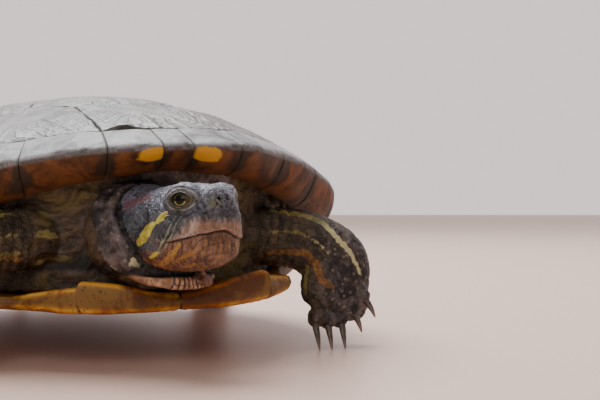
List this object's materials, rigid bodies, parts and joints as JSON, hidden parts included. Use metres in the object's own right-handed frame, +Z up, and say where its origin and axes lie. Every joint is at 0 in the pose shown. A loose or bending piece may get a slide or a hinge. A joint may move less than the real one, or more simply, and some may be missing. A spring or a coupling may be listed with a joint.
{
  "type": "red-eared slider turtle",
  "caption": "Life-size still turtle standing on its feet, domed scute shell, orange plastron, striped skin, head half drawn in.",
  "frame": {"origin": "on the floor under the middle of the animal's box", "axes": "+Z up; the head points along -Y and the animal's left side is +X"},
  "size_m": [0.171, 0.2391, 0.0737],
  "materials": {
    "carapace": "worn horny scutes, olive grey with pale growth rings, satin",
    "marginal": "horny rim scutes, olive grey above and orange brown below, satin",
    "plastron": "horny orange brown scutes with yellow lip and dark smudges, satin",
    "skin": "dark scaled skin with yellow and olive stripes",
    "eye": "wet olive iris with a black pupil",
    "horn": "horny beak and claws, tan to dark brown"
  },
  "bodies": {
    "root": {"nuchal_scute": "marginal", "marginal_left_1": "marginal", "marginal_right_1": "marginal", "marginal_left_2": "marginal", "marginal_right_2": "marginal", "marginal_left_3": "marginal", "marginal_right_3": "marginal", "marginal_left_4": "marginal", "marginal_right_4": "marginal", "marginal_left_5": "marginal", "marginal_right_5": "marginal", "marginal_left_6": "marginal", "marginal_right_6": "marginal", "marginal_left_7": "marginal", "marginal_right_7": "marginal", "marginal_left_8": "marginal", "marginal_right_8": "marginal", "marginal_left_9": "marginal", "marginal_right_9": "marginal", "marginal_left_10": "marginal", "marginal_right_10": "marginal", "marginal_left_11": "marginal", "marginal_right_11": "marginal", "marginal_left_12": "marginal", "marginal_right_12": "marginal", "vertebral_1": "carapace", "vertebral_2": "carapace", "vertebral_3": "carapace", "vertebral_4": "carapace", "vertebral_5": "carapace", "costal_left_1": "carapace", "costal_right_1": "carapace", "costal_left_2": "carapace", "costal_right_2": "carapace", "costal_left_3": "carapace", "costal_right_3": "carapace", "costal_left_4": "carapace", "costal_right_4": "carapace", "gular_left": "plastron", "gular_right": "plastron", "humeral_left": "plastron", "humeral_right": "plastron", "pectoral_left": "plastron", "pectoral_right": "plastron", "abdominal_left": "plastron", "abdominal_right": "plastron", "femoral_left": "plastron", "femoral_right": "plastron", "anal_left": "plastron", "anal_right": "plastron", "trunk": "skin", "neck": "skin", "head": "skin", "eye_left": "eye", "eye_right": "eye", "tail": "skin", "forelimb_left": "skin", "hindlimb_left": "skin", "forelimb_right": "skin", "hindlimb_right": "skin"}
  },
  "joints": []
}
